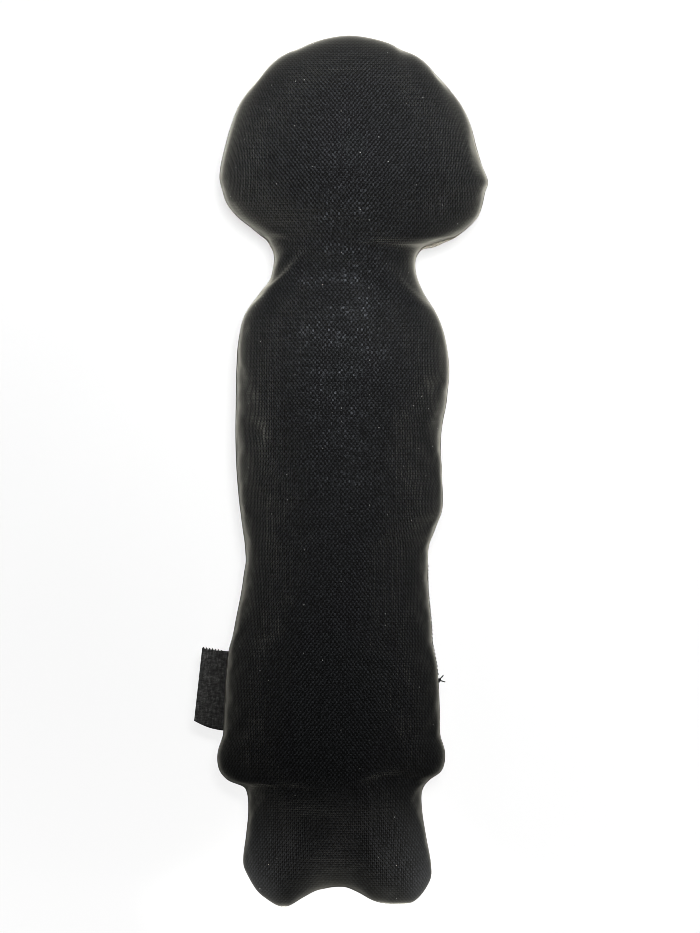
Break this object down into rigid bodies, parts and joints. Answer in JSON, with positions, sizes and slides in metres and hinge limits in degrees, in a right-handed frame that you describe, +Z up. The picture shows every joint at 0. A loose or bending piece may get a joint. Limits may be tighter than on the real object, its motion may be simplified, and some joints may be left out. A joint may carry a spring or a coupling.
{
  "type": "stuffed cloth doll",
  "caption": "Flat stuffed cloth doll with a round head, long body, hemmed skirt outline and short feet, a hand-closed side seam and a folded ribbon label.",
  "frame": {"origin": "on the table that the doll lies on, under the middle of its box", "axes": "+Y from the soles to the crown, +X to the doll's right, +Z up, from its front to its back"},
  "size_m": [0.0942, 0.2824, 0.0413],
  "materials": {
    "black_linen": "matte plain weave",
    "pale_cloth": "matte plain weave",
    "fibre_filling": "matte loose fibre",
    "sewing_thread": "twisted thread",
    "black_ribbon": "fine woven ribbon"
  },
  "bodies": {
    "doll": {"back_panel": "black_linen", "front_panel": "pale_cloth", "skirt_filling": "fibre_filling", "waist_filling": "fibre_filling", "chest_filling": "fibre_filling", "neck_filling": "fibre_filling", "head_filling": "fibre_filling", "left_foot_filling": "fibre_filling", "right_foot_filling": "fibre_filling", "seam_needle_thread": "sewing_thread", "seam_bobbin_thread": "sewing_thread", "closing_thread": "sewing_thread", "closing_knot": "sewing_thread", "label_seam_end": "black_ribbon"},
    "label": {"label_tab": "black_ribbon"}
  },
  "joints": [
    {"name": "label_flap", "type": "hinge", "parent": "doll", "child": "label", "pos_m": [-0.03818, -0.07129, 0.0162], "axis": [0.0577, 0.9983, 0], "range_deg": [-90, 90], "stiffness_Nm_per_rad": 0.00005}
  ]
}
